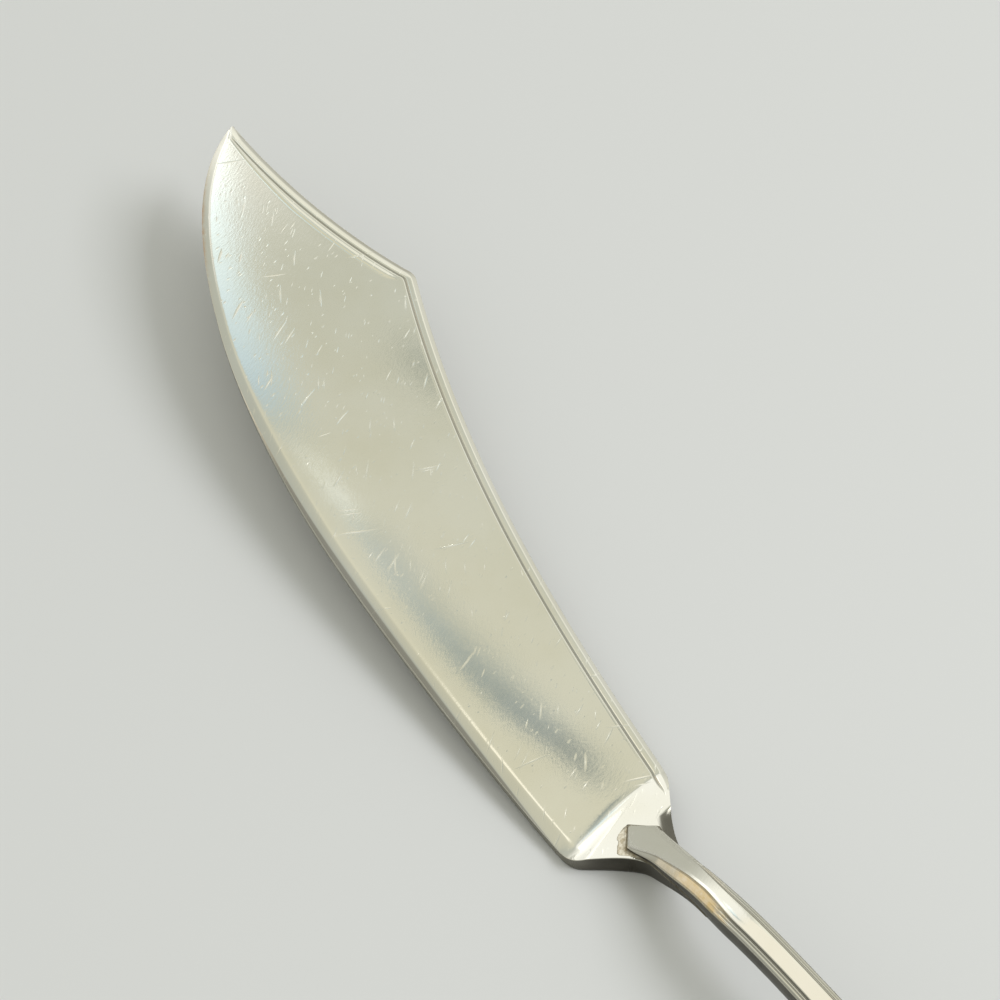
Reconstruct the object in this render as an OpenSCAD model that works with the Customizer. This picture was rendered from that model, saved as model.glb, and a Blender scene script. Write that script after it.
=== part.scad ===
// Master butter knife: a scimitar blade lap-soldered to an arched flat handle with threaded edges.
// Millimetres. The knife lies on its heel and its handle end. x runs along the handle to the tip,
// y to the cutting edge and z up. Shapes are drawn from the heel, then moved so that the origin
// is on the table under the middle of the whole knife.

/* [Blade] */
// Heel to tip, along the blade's own line
blade_len = 87.4; // [80:0.2:95]
// Cutting edge's furthest reach from that line
belly = 8.9; // [8:0.1:9.8]
// Clip corner's distance from that line, on the back
corner_drop = 15.3; // [13:0.1:17]
// Tip's distance from that line, on the back
tip_drop = 8.9; // [7:0.1:10]
// Tip to clip corner, along that line
clip_len = 25.1; // [22:0.1:27]
// Half of the heel on the cutting edge's side
heel_edge = 6.9; // [6.2:0.1:7.4]
// Half of the heel on the back's side
heel_back = 5.8; // [5.2:0.1:6.2]
// Thickness at the heel
heel_t = 1.6; // [1.4:0.1:1.9]
// Thickness at the tip
tip_t = 0.9; // [0.8:0.1:1.2]
// Upward tilt of the blade from its heel, in degrees
lift_angle = 7; // [4:0.5:9]
// Turn of the blade towards its back, against the handle, in degrees
set_angle = 5; // [0:0.5:6]

/* [Blade borders] */
// Width of the bevel along the cutting edge, from the heel to the belly
bevel_w = 1.3; // [1.1:0.05:1.4]
// How far that bevel falls for each millimetre of its width
bevel_fall = 0.33; // [0.25:0.01:0.36]
// Width of the steep face at the foot of the bevel, at the belly
steep_w = 0.45; // [0.35:0.05:0.5]
// How far that steep face falls, at the belly
steep_drop = 0.5; // [0.4:0.05:0.55]
// Back edge to the middle of the engraved line
border_w = 1.15; // [0.9:0.05:1.5]
// Width of the chamfer on the back edge
chamfer_w = 0.45; // [0.3:0.05:0.6]
// How far that chamfer falls
chamfer_drop = 0.2; // [0.1:0.02:0.3]
// Width of the engraved line
groove_w = 0.22; // [0.16:0.02:0.3]
// Depth of the engraved line
groove_d = 0.1; // [0.06:0.02:0.16]

/* [Heel] */
// Height of the raised heel at the point of the pad
plateau_z = 2.4; // [2.2:0.1:2.6]
// Length of the slope up to the raised heel
ramp_len = 1.9; // [1.4:0.1:2.4]

/* [Handle] */
// Heel to handle end
handle_len = 102; // [95:1:110]
// Width of the pad and neck
neck_w = 3.3; // [3:0.1:3.6]
// Thickness of the neck
neck_t = 3.3; // [3.1:0.1:3.6]
// Greatest width, near the end
end_w = 15.6; // [12:0.2:18]
// Thickness at the end
end_t = 2.1; // [1.8:0.1:2.4]
// Height of the arch above the table
arch_h = 6.4; // [5.8:0.1:7.4]
// Width of the two threads along each edge
thread_w = 0.75; // [0.6:0.05:0.9]
// Depth of the lines between the threads
thread_d = 0.14; // [0.08:0.02:0.18]

/* [Solder joint] */
// Length of the blade's tongue behind the heel
lap_len = 11; // [9:0.5:13]
// Thickness of the solder film
solder_t = 0.1; // [0.06:0.02:0.14]
// Width of the solder fillet round the pad
fillet_w = 0.3; // [0.2:0.05:0.4]
// Height of that fillet against the pad
fillet_h = 0.25; // [0.15:0.05:0.35]

/* [Hidden] */

silver = [0.86, 0.85, 0.79];
solder_grey = [0.62, 0.61, 0.56];
neck_half = neck_w / 2;
// Middle of the heel, on the handle line, in the blade's own plan
heel_mid = 0.5;
// Where the neck's sides meet the shoulders, on the edge side and on the back
root_e = -4;
root_b = -6.5;
// Front point of the pad on the heel, where the pad reaches its full width, and its least thickness
pad_tip_x = 1;
pad_full_x = -0.8;
pad_tip_half = 0.12;
nose_t = 0.14;
// How far behind the heel the pad's top stays straight, and where the arch is highest
pad_len = 6;
crest = 24;
// The tip is blunt by this much
tip_blunt = 0.35;
// How far the solder stands proud of the neck's sides
solder_proud = 0.03;

// Curves and blends
function lerp(a, b, t) = a + (b - a) * t;
function clamp01(t) = min(1, max(0, t));
function smooth(t) = clamp01(t) * clamp01(t) * (3 - 2 * clamp01(t));
// t where it is above 0, and 0 below, with the corner rounded
function soft_positive(t, radius) = (t + sqrt(t * t + radius * radius)) / 2;
function bezier(p, t) =
    len(p) == 1 ? p[0] : bezier([for (i = [0:len(p) - 2]) lerp(p[i], p[i + 1], t)], t);
// Value at x of a smooth curve through knots of [x, value, slope]
function knot_span(k, x, i = 0) = i >= len(k) - 2 || x < k[i + 1][0] ? i : knot_span(k, x, i + 1);
function hermite(a, b, x) =
    let (w = b[0] - a[0], t = (x - a[0]) / w)
    (1 + 2 * t) * (1 - t) * (1 - t) * a[1] + t * (1 - t) * (1 - t) * w * a[2]
    + t * t * (3 - 2 * t) * b[1] + t * t * (t - 1) * w * b[2];
function curve(k, x) =
    let (i = knot_span(k, x)) hermite(k[i], k[i + 1], min(max(x, k[0][0]), k[len(k) - 1][0]));

// Closed skin over rings of points that all have the same count. Point j of a ring faces point
// n - 1 - j across the ring, so each end closes with a strip between the two halves.
module skin(rings) {
    n = len(rings[0]);
    last = len(rings) - 1;
    sides = [for (i = [0:last - 1], j = [0:n - 1])
        let (a = i * n + j, b = i * n + (j + 1) % n)
        each [[a, b, a + n], [b, b + n, a + n]]];
    strip = [for (j = [0:ceil(n / 2) - 2]) let (k = n - 1 - j)
        each j + 1 == k - 1 ? [[j, j + 1, k]] : [[j, j + 1, k], [j + 1, k - 1, k]]];
    first_cap = [for (f = strip) [f[2], f[1], f[0]]];
    last_cap = [for (f = strip) [for (v = f) last * n + v]];
    polyhedron([for (r = rings) each r], concat(sides, first_cap, last_cap), convexity = 8);
}

// Profiles of the handle against d, the distance behind the heel
under_knots = [
    [1, 0, 0.12], [4, 0.19 * arch_h, 0.56], [7.5, 0.515 * arch_h, 0.54], [11, 0.75 * arch_h, 0.33],
    [15, 0.906 * arch_h, 0.16], [crest, arch_h, 0], [handle_len - 8, 0, 0], [handle_len, 0.35, 0.12]
];
half_w_knots = [
    [0, 1.12 * neck_half, -0.03], [2.5, neck_half, -0.06], [4, 0.98 * neck_half, -0.015],
    [11, 0.91 * neck_half, -0.005], [26, 0.92 * neck_half, 0.015], [0.52 * handle_len, 0.21 * end_w, 0.1],
    [handle_len - 10, end_w / 2, 0]
];
// Thickness behind the crest of the arch
thick_knots = [
    [crest, 0.78 * neck_t, -0.006], [0.4 * handle_len, 0.76 * neck_t, -0.006], [handle_len, end_t, 0]
];
round_end = handle_len - 10;
function under_z(d) = d <= 1 ? 0 : curve(under_knots, d);
function end_round(d) =
    d <= round_end ? 1 : sqrt(max(0.0005, 1 - pow((d - round_end) / (handle_len - round_end), 2)));
function pad_share(d) = clamp01((d + pad_tip_x) / (pad_tip_x - pad_full_x));
function half_w(d) =
    d < -pad_full_x
    ? lerp(pad_tip_half, curve(half_w_knots, -pad_full_x), pad_share(d))
    : curve(half_w_knots, d) * end_round(d);
// Top of the handle: a straight wedge from the nose of the pad, then a smooth arch to its crest
nose_z = plateau_z + solder_t + nose_t;
pad_end_z = under_z(pad_len) + neck_t;
pad_slope = (pad_end_z - nose_z) / (pad_len + pad_tip_x);
top_knots = [
    [-pad_tip_x, nose_z, pad_slope], [pad_len, pad_end_z, pad_slope], [11, under_z(11) + 0.84 * neck_t, 0.28],
    [16, under_z(16) + 0.8 * neck_t, 0.12], [crest, under_z(crest) + 0.78 * neck_t, -0.006]
];
function top_z(d) = d < crest ? curve(top_knots, d) : under_z(d) + curve(thick_knots, d);
// How much narrower the neck is on the edge side, where it is filed hollow
waist_knots = [[1, 0, 0], [4, 0.25 * neck_half, 0], [8, 0.24 * neck_half, -0.02], [14, 0, 0]];
function half_e(d) = half_w(d) - curve(waist_knots, d);
// Width of the neck's top chamfer on the edge side and on the back side, up to where the threads begin
chamfer_e_knots = [
    [-pad_tip_x, 0.04, 0], [1, 0.12, 0.15], [4, 0.55, 0.1], [8, 0.88, 0.02], [14, thread_w, 0]
];
chamfer_b_knots = [[-pad_tip_x, 0.04, 0.03], [7.5, 0.5, 0.07], [12, thread_w, 0]];

// Lap between blade and handle: a plane that rises behind the heel
lap_slope = (under_z(lap_len) + 0.4 - plateau_z) / (lap_len + pad_tip_x);
function lap_z(x) = plateau_z + (pad_tip_x - x) * lap_slope;

// From the blade's own plan to the knife's, and back
set_cos = cos(set_angle);
set_sin = sin(set_angle);
function turned(p) =
    [set_cos * p[0] + set_sin * (p[1] - heel_mid), set_cos * (p[1] - heel_mid) - set_sin * p[0]];
function own(p) = [set_cos * p[0] - set_sin * p[1], set_sin * p[0] + set_cos * p[1] + heel_mid];
function turn_all(list) = [for (p = list) turned(p)];

// Plan of the blade in stages from the neck to the tip. Each stage has its row count, the curve
// of the edge side and the curve of the back side.
tip = [blade_len, -tip_drop];
corner = [blade_len - clip_len, -corner_drop];
shoulder_e = [0.6, 0.84 * heel_edge];
shoulder_b = [2.6, -0.87 * heel_back];
heel_e = [2.6, heel_edge];
heel_b = [5, -heel_back];
belly_e = [0.44 * blade_len, belly];
belly_b = [0.408 * blade_len, -0.55 * corner_drop];
clip_e = [0.776 * blade_len, 0.53 * belly];
near_clip_e = clip_e + [-1.2, 0.4];
corner_in = corner + [-1.1, 0.36];
corner_out = corner + [1.1, 0.48];
blunt_e = tip + [0, tip_blunt];

STAGES = [
    [12, concat([[root_e, half_e(-root_e)], [root_e / 2, half_e(-root_e)]],
                turn_all([[-0.9, 0.52 * heel_edge], shoulder_e])),
         concat([[root_b, -half_w(-root_b)], [root_b / 2, -half_w(-root_b)]],
                turn_all([[-0.8, -0.5 * heel_back], shoulder_b]))],
    [5, turn_all([shoulder_e, [1.1, 0.94 * heel_edge], [1.6, 0.975 * heel_edge], heel_e]),
        turn_all([shoulder_b, [3.4, -0.957 * heel_back], [3.9, -0.99 * heel_back], heel_b])],
    [18, turn_all([heel_e, [0.1 * blade_len, 0.865 * belly], [0.292 * blade_len, belly], belly_e]),
         turn_all([heel_b, [0.172 * blade_len, -0.4 * corner_drop],
                   [0.29 * blade_len, -0.438 * corner_drop], belly_b])],
    [16, turn_all([belly_e, [0.564 * blade_len, belly], [0.682 * blade_len, 0.82 * belly], near_clip_e]),
         turn_all([belly_b, [0.506 * blade_len, -0.64 * corner_drop],
                   [0.605 * blade_len, -0.78 * corner_drop], corner_in])],
    [5, turn_all([near_clip_e, clip_e]),
        turn_all([corner_in, corner + [-0.2, 0.02], corner + [0.3, 0.02], corner_out])],
    [24, turn_all([clip_e, [0.893 * blade_len, 0.163 * belly], [0.976 * blade_len, -0.36 * tip_drop], blunt_e]),
         turn_all([corner_out, [0.822 * blade_len, -0.72 * corner_drop],
                   [0.926 * blade_len, -1.05 * tip_drop], tip])]
];
// Rows crowd towards the end of the last stage, where the edge turns up to the tip
function stage_t(s, i) = let (t = i / STAGES[s][0]) s == len(STAGES) - 1 ? 1 - (1 - t) * (1 - t) : t;
tongue_rows = 8;
rows = concat(
    [for (i = [0:tongue_rows])
        let (e = lerp(-lap_len, root_e, i / tongue_rows), b = lerp(-lap_len, root_b, i / tongue_rows))
        [[e, half_e(-e)], [b, -half_w(-b)]]],
    [for (s = [0:len(STAGES) - 1], i = [1:STAGES[s][0]])
        [bezier(STAGES[s][1], stage_t(s, i)), bezier(STAGES[s][2], stage_t(s, i))]]);

// Middle of the knife's own box, from the plan
knife_mid = [
    (max([for (r = rows) max(r[0][0], r[1][0])]) - handle_len) / 2,
    (max(end_w / 2, max([for (r = rows) r[0][1]])) + min([for (r = rows) r[1][1]])) / 2
];

// Heights of the blade, in its own plan except for the lap
bend_from = 1.5;
bend_to = 4;
bend_mid = (bend_from + bend_to) / 2;
lift = tan(lift_angle);
function bend_z(x) =
    x <= bend_from ? 0
    : x < bend_to ? lift * pow(x - bend_from, 2) / (2 * (bend_to - bend_from))
    : lift * (x - bend_mid);
function face_z(x) = bend_z(x) + lerp(heel_t, tip_t, clamp01(x / blade_len));
// The slope up to the heel is straight, with its two corners eased
ramp_ease = 0.12;
function ramp_foot(y) = 4.6 - 0.385 * y;
function blade_top(p) =
    let (q = own(p), t = (ramp_foot(q[1]) - q[0]) / ramp_len)
    lerp(face_z(q[0]), lap_z(p[0]), clamp01(soft_positive(t, ramp_ease) - soft_positive(t - 1, ramp_ease)));
// The flat that the heel rests on ends in a plain crease
function blade_under(p) = p[0] < -1 ? under_z(-p[0]) : lift * max(0, own(p)[0] - bend_mid);

// One ring of the blade: across the top from edge to back, then back underneath. Border widths
// are square to the outline, so they grow where a row crosses the outline on the slant.
function row_dir(i, side) =
    let (a = rows[max(0, i - 1)][side], b = rows[min(len(rows) - 1, i + 1)][side]) (b - a) / norm(b - a);
function slant(i, side) =
    let (r = rows[i], across = (r[1] - r[0]) / norm(r[1] - r[0]), dir = row_dir(i, side))
    max(0.35, abs(across[0] * dir[1] - across[1] * dir[0]));
top_inner = 6;
under_inner = top_inner + 4;
side_relief = 0.25;
edge_relief = 0.12;
tongue_relief = 0.3;
// The steep face is widest at the belly, and the bevel narrows towards the tip
steep_knots = [
    [1, 0, 0.03], [12, 0.6, 0.05], [26, 1, 0.01], [38, 1, -0.01], [53, 0.4, -0.05], [62, 0.04, 0]
];
function steep_share(x) = max(0.04, curve(steep_knots, x));
function bevel_share(x) = lerp(1, 0.6, smooth((x - 45) / 21));
// Where the bevel begins on the edge, and the border on the back, past the shoulders
bevel_from = 0.8;
border_from = 1.6;
function blade_ring(i) =
    let (
        r = rows[i],
        width = norm(r[1] - r[0]),
        // The bevel begins at the heel's corner, and the border runs in from the shoulder's edge
        x = own(r[0])[0],
        on = smooth((x - bevel_from) / 2.4),
        line_on = smooth((own(r[1])[0] - border_from) / 3),
        square = slant(i, 0),
        bevel_mm = min(bevel_w * bevel_share(x) / square, 0.24 * width),
        steep_mm = min(steep_w * steep_share(x) / square, 0.6 * bevel_mm),
        bevel = bevel_mm / width,
        fall = bevel_fall * (bevel_mm - steep_mm) * square,
        border = min(border_w / slant(i, 1), 0.55 * width) * lerp(0.3, 1, line_on) / width,
        line = groove_w / border_w * border / 2,
        chamfer = chamfer_w / border_w * border,
        // Beside the neck, the tongue's lower corners are filed off like the handle's
        filed = smooth((-r[0][0] - 1) / 6),
        inner = [for (k = [1:top_inner]) [lerp(bevel, 1 - border - line, k / (top_inner + 1)), 0]],
        top = concat(
            [[0, (fall + steep_drop * steep_share(x)) * on], [steep_mm / width, fall * on], [bevel, 0]], inner,
            [[1 - border - line, 0], [1 - border, groove_d * line_on], [1 - border + line, 0],
             [1 - chamfer, 0], [1, chamfer_drop * line_on]]),
        under = concat(
            [[1, lerp(side_relief, tongue_relief, filed)], [1 - chamfer, 0]],
            [for (k = [1:under_inner]) [lerp(1 - chamfer, bevel, k / (under_inner + 1)), 0]],
            [[bevel, 0], [0, lerp(edge_relief, tongue_relief, filed)]])
    )
    concat(
        [for (c = top) let (p = lerp(r[0], r[1], c[0])) [p[0], p[1], blade_top(p) - c[1]]],
        [for (c = under) let (p = lerp(r[0], r[1], c[0])) [p[0], p[1], blade_under(p) + c[1]]]);

// One side of the handle's section at d behind the heel, w wide and standing on floor_z. The top
// edge is a plain chamfer at the neck, and turns into two threads between lines from thread_from on.
function handle_side(d, w, floor_z, relief, chamfer_knots, thread_from) =
    let (
        z = top_z(d),
        on = smooth((d - thread_from) / 4),
        band = min(curve(chamfer_knots, d), 0.74 * w),
        fall = min(lerp(0.8, 0.35, on), 0.55 * (z - floor_z), band),
        line = thread_d * on * clamp01(w / 2),
        // Share of the thread band from the outer edge, and how far below the plain chamfer
        steps = [
            [0, 0], [0.28, -0.6 * line], [0.44, 0.8 * line], [0.58, -0.5 * line],
            [0.74, line], [0.9, line], [1, 0]
        ]
    )
    concat(
        [[max(0.7 * w, w - 0.7), floor_z], [w, floor_z + relief]],
        [for (s = steps) [w - s[0] * band, z - fall * (1 - s[0]) - s[1]]]);
function handle_ring(d, floor_z, relief) =
    let (
        edge = handle_side(d, half_e(d), floor_z, relief, chamfer_e_knots, 10),
        back = handle_side(d, half_w(d), floor_z, relief, chamfer_b_knots, 4.5),
        crown = 0.03 * half_w(d)
    )
    concat(
        [for (p = edge) [-d, p[0], p[1]]],
        [[-d, 0, top_z(d) + crown]],
        [for (k = [len(back) - 1:-1:0]) [-d, -back[k][0], back[k][1]]]);

// One ring of the solder: the film, and beside it a fillet that reaches out and rises up the pad
function solder_side(x, half, reach, rise, hollow) =
    let (floor_z = lap_z(x), film = floor_z + solder_t)
    [
        [half + reach, floor_z], [half + reach, floor_z + 0.04],
        [half, film + rise], [half * hollow[0], film + hollow[1]]
    ];
function solder_ring(x, edge, back, reach, rise, hollow) =
    let (
        e = solder_side(x, edge, reach, rise, hollow),
        b = solder_side(x, back, reach, rise, hollow)
    )
    concat([for (p = e) [x, p[0], p[1]]], [for (k = [len(b) - 1:-1:0]) [x, -b[k][0], b[k][1]]]);

// The fillet grows with the pad's side, from its nose
function rise_at(x) = lerp(solder_proud, fillet_h, clamp01((pad_tip_x - x) / 3));

module at_origin() {
    translate([-knife_mid[0], -knife_mid[1], 0]) children();
}

module blade() {
    color(silver) at_origin() skin([for (i = [len(rows) - 1:-1:0]) blade_ring(i)]);
}

module handle() {
    step = 0.02;
    lap_d = lap_len + solder_t;
    pad = [for (i = [0:6]) lerp(-pad_tip_x, -pad_full_x, i / 6)];
    lap = [for (i = [1:14]) lerp(-pad_full_x, lap_d, i / 14)];
    shank = [for (i = [0:46]) lerp(lap_d + step, round_end, i / 46)];
    tail = [for (i = [1:14]) lerp(round_end, handle_len, sin(90 * i / 14))];
    color(silver) at_origin() skin(concat(
        [for (d = concat(pad, lap)) handle_ring(d, lap_z(-d) + solder_t, step)],
        [for (d = concat(shank, tail)) handle_ring(d, under_z(d), 0.35)]));
}

module solder_joint() {
    step = 0.02;
    pad = [for (i = [0:6]) lerp(pad_tip_x, pad_full_x, i / 6)];
    lap = [for (i = [1:14]) lerp(pad_full_x, -lap_len, i / 14)];
    color(solder_grey) at_origin() skin(concat(
        [solder_ring(pad_tip_x + fillet_w, 0.1, 0.1, 0.15, -0.03, [0.6, -0.02])],
        [solder_ring(pad_tip_x + step, pad_tip_half, pad_tip_half, fillet_w, solder_proud,
                     [0.6, solder_proud + 0.01])],
        [for (x = pad) solder_ring(x, half_e(-x), half_w(-x), fillet_w, rise_at(x), [1, 0])],
        [for (x = lap) let (on = clamp01((x - root_e) / (pad_full_x - root_e)))
            solder_ring(x, half_e(-x), half_w(-x), lerp(solder_proud, fillet_w, on),
                        lerp(solder_proud, rise_at(x), on), [1, 0])]));
}

blade();
handle();
solder_joint();
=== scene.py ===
# %% [markdown]
# # A master butter knife in worn silver plate
#
# The knife is two struck pieces of nickel silver with a film of silver solder between them, and a
# thin coat of silver over all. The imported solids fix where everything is. This lesson builds each
# piece again as a fine mesh on the same lines, gives it its finish, and lights it as a small studio
# would. The knife is drawn in millimetres, which become metres when a mesh is made. The studio is in
# metres.

# %% Load the frame
import math

import bpy
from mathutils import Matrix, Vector, noise


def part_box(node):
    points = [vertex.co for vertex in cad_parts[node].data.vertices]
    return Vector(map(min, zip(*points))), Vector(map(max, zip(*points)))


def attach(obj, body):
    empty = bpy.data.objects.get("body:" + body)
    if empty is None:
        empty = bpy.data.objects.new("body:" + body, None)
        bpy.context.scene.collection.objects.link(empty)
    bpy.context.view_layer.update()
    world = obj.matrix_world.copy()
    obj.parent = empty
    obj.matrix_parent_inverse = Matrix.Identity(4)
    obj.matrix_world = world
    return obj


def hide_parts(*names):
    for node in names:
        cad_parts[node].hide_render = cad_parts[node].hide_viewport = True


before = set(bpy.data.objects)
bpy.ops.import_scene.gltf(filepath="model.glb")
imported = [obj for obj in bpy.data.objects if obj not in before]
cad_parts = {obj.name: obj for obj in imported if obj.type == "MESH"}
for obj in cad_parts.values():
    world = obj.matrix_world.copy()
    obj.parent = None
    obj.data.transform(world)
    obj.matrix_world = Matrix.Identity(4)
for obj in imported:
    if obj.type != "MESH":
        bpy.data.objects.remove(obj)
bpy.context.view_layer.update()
MM = 0.001

# %% [markdown]
# ## Curves
#
# Every outline and height is a curve: a Bezier where an outline has ends and pulls, and a smooth line
# through knots where a height or width is known at some places. Forms come and go along the knife, so
# one more function says how far a place is on the way between two others.

# %% Blends and curves


def lerp(a, b, t):
    return a + (b - a) * t


def clamp01(t):
    return min(1.0, max(0.0, t))


def between(x, start, end):
    """How far x is on the way from start to end: 0 before, 1 past it, eased at both."""
    t = clamp01((x - start) / (end - start))
    return t * t * (3 - 2 * t)


def hump(x, width):
    """A bell of height 1 at x = 0."""
    return math.exp(-(x / width) ** 2)


def soft_positive(x, radius):
    """x where it is above 0, and 0 below, with the corner rounded."""
    return (x + math.sqrt(x * x + radius * radius)) / 2


def bezier(points, t):
    while len(points) > 1:
        points = [lerp(a, b, t) for a, b in zip(points, points[1:])]
    return points[0]


def curve(knots, x):
    """Value at x of a smooth line through knots of (x, value, slope)."""
    x = min(max(x, knots[0][0]), knots[-1][0])
    pairs = list(zip(knots, knots[1:]))
    a, b = next((p for p in pairs if x < p[1][0]), pairs[-1])
    w = b[0] - a[0]
    t = (x - a[0]) / w
    rest = 1 - t
    start = (1 + 2 * t) * rest * rest * a[1] + t * rest * rest * w * a[2]
    return start + t * t * (3 - 2 * t) * b[1] + t * t * (t - 1) * w * b[2]


# %% [markdown]
# ## The handle's profiles
#
# The handle is a struck bar, and it is drawn as profiles against the distance d behind the heel: how
# high it arches, how wide it is and how thick. A box could be pushed into this shape by hand. Curves
# through a few places are used instead, because the solids have the same ones, and so the mesh lies
# where the solid does. Names that end in _e are for the side of the cutting edge, and those in _b for
# the side of the back. The frame says where the middle of the knife is.

# %% Sizes of the handle
handle_len = 102.0
neck_w, neck_t = 3.3, 3.3
neck_half = neck_w / 2
end_w, end_t = 15.6, 2.1
round_end = handle_len - 10
arch_h, crest = 6.4, 24.0
thread_w = 0.75
pad_len, pad_tip_x, pad_full_x, pad_tip_half = 6.0, 1.0, -0.8, 0.12
nose_t, plateau_z = 0.14, 2.4
lap_len, solder_t = 11.0, 0.1
knife_mid = Vector((
    -handle_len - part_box("handle")[0].x / MM,
    end_w / 2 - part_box("handle")[1].y / MM,
))
print("heel lies at", [round(-v, 2) for v in knife_mid], "mm from the knife's middle")

# %% Underside and width
under_knots = [
    (1, 0, 0.12), (4, 0.19 * arch_h, 0.56), (7.5, 0.515 * arch_h, 0.54), (11, 0.75 * arch_h, 0.33),
    (15, 0.906 * arch_h, 0.16), (crest, arch_h, 0), (handle_len - 8, 0, 0), (handle_len, 0.35, 0.12),
]
half_w_knots = [
    (0, 1.12 * neck_half, -0.03), (2.5, neck_half, -0.06), (4, 0.98 * neck_half, -0.015),
    (11, 0.91 * neck_half, -0.005), (26, 0.92 * neck_half, 0.015), (0.52 * handle_len, 0.21 * end_w, 0.1),
    (round_end, end_w / 2, 0),
]
# How much narrower the neck is on the edge side, where it is filed hollow
waist_knots = [(1, 0, 0), (4, 0.25 * neck_half, 0), (8, 0.24 * neck_half, -0.02), (14, 0, 0)]


def under_z(d):
    return 0.0 if d <= 1 else curve(under_knots, d)


def half_w(d):
    """Half the width, from the pad's point to the rounded end."""
    if d < -pad_full_x:
        share = clamp01((d + pad_tip_x) / (pad_tip_x - pad_full_x))
        return lerp(pad_tip_half, curve(half_w_knots, -pad_full_x), share)
    past = max(0.0, d - round_end) / (handle_len - round_end)
    return curve(half_w_knots, d) * math.sqrt(max(0.0005, 1 - past * past))


def half_e(d):
    return half_w(d) - curve(waist_knots, d)


print("neck", round(2 * half_w(pad_len), 1), "mm wide, end", round(2 * half_w(round_end), 1), "mm wide")

# %% Top and lap
# The top is a straight wedge from the nose of the pad, then a smooth arch to its crest
nose_z = plateau_z + solder_t + nose_t
pad_end_z = under_z(pad_len) + neck_t
pad_slope = (pad_end_z - nose_z) / (pad_len + pad_tip_x)
top_knots = [
    (-pad_tip_x, nose_z, pad_slope), (pad_len, pad_end_z, pad_slope),
    (11, under_z(11) + 0.84 * neck_t, 0.28), (16, under_z(16) + 0.8 * neck_t, 0.12),
    (crest, under_z(crest) + 0.78 * neck_t, -0.006),
]
# Thickness behind the crest of the arch
thick_knots = [
    (crest, 0.78 * neck_t, -0.006), (0.4 * handle_len, 0.76 * neck_t, -0.006), (handle_len, end_t, 0),
]
lap_slope = (under_z(lap_len) + 0.4 - plateau_z) / (lap_len + pad_tip_x)


def top_z(d):
    return curve(top_knots, d) if d < crest else under_z(d) + curve(thick_knots, d)


def lap_z(x):
    """Height of the joint between blade and handle: a plane that rises behind the heel."""
    return plateau_z + (pad_tip_x - x) * lap_slope


print("arch", round(top_z(crest), 1), "mm high at the top")

# %% [markdown]
# ## The plan of the blade
#
# A blade like this is stamped from sheet, so its plan comes first. It is drawn from the heel to the tip
# and then turned against the handle. Rows run across it from the cutting edge to the back, in stages
# from the tongue under the neck to the tip. The solids have some 90 rows. The mesh has five times as
# many, because silver shows every facet.

# %% Plan of the blade
blade_len, belly = 87.4, 8.9
corner_drop, tip_drop, clip_len = 15.3, 8.9, 25.1
heel_edge, heel_back, heel_mid = 6.9, 5.8, 0.5
root_e, root_b = -4.0, -6.5
tip_blunt = 0.35
set_angle = math.radians(5)
turn_c, turn_s = math.cos(set_angle), math.sin(set_angle)


def turned(p):
    """From the blade's own plan to the knife's."""
    x, y = p[0], p[1] - heel_mid
    return Vector((turn_c * x + turn_s * y, turn_c * y - turn_s * x))


def own(p):
    """From the knife's plan to the blade's own."""
    return Vector((turn_c * p[0] - turn_s * p[1], turn_s * p[0] + turn_c * p[1] + heel_mid))


def plan(*points):
    return [turned(p) for p in points]


tip = Vector((blade_len, -tip_drop))
corner = Vector((blade_len - clip_len, -corner_drop))
print("tip lies at", [round(v, 1) for v in turned(tip)], "mm from the heel")

# %% Rows across the blade
shoulder_e, shoulder_b = (0.6, 0.84 * heel_edge), (2.6, -0.87 * heel_back)
heel_e, heel_b = (2.6, heel_edge), (5, -heel_back)
belly_e, belly_b = (0.44 * blade_len, belly), (0.408 * blade_len, -0.55 * corner_drop)
clip_e = Vector((0.776 * blade_len, 0.53 * belly))
near_clip_e = clip_e + Vector((-1.2, 0.4))
corner_in, corner_out = corner + Vector((-1.1, 0.36)), corner + Vector((1.1, 0.48))
root_half_e, root_half_b = half_e(-root_e), half_w(-root_b)
root_line_e = [Vector((root_e, root_half_e)), Vector((root_e / 2, root_half_e))]
root_line_b = [Vector((root_b, -root_half_b)), Vector((root_b / 2, -root_half_b))]

# Rows of a stage, outline on the edge side, outline on the back
stages = [
    (12, root_line_e + plan((-0.9, 0.52 * heel_edge), shoulder_e),
     root_line_b + plan((-0.8, -0.5 * heel_back), shoulder_b)),
    (5, plan(shoulder_e, (1.1, 0.94 * heel_edge), (1.6, 0.975 * heel_edge), heel_e),
     plan(shoulder_b, (3.4, -0.957 * heel_back), (3.9, -0.99 * heel_back), heel_b)),
    (18, plan(heel_e, (0.1 * blade_len, 0.865 * belly), (0.292 * blade_len, belly), belly_e),
     plan(heel_b, (0.172 * blade_len, -0.4 * corner_drop), (0.29 * blade_len, -0.438 * corner_drop),
          belly_b)),
    (16, plan(belly_e, (0.564 * blade_len, belly), (0.682 * blade_len, 0.82 * belly), near_clip_e),
     plan(belly_b, (0.506 * blade_len, -0.64 * corner_drop), (0.605 * blade_len, -0.78 * corner_drop),
          corner_in)),
    (5, plan(near_clip_e, clip_e),
     plan(corner_in, corner + Vector((-0.2, 0.02)), corner + Vector((0.3, 0.02)), corner_out)),
    (24, plan(clip_e, (0.893 * blade_len, 0.163 * belly), (0.976 * blade_len, -0.36 * tip_drop),
              tip + Vector((0, tip_blunt))),
     plan(corner_out, (0.822 * blade_len, -0.72 * corner_drop), (0.926 * blade_len, -1.05 * tip_drop),
          tip)),
]
FINER = 5
tongue_rows = 8 * FINER
rows = []
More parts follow.
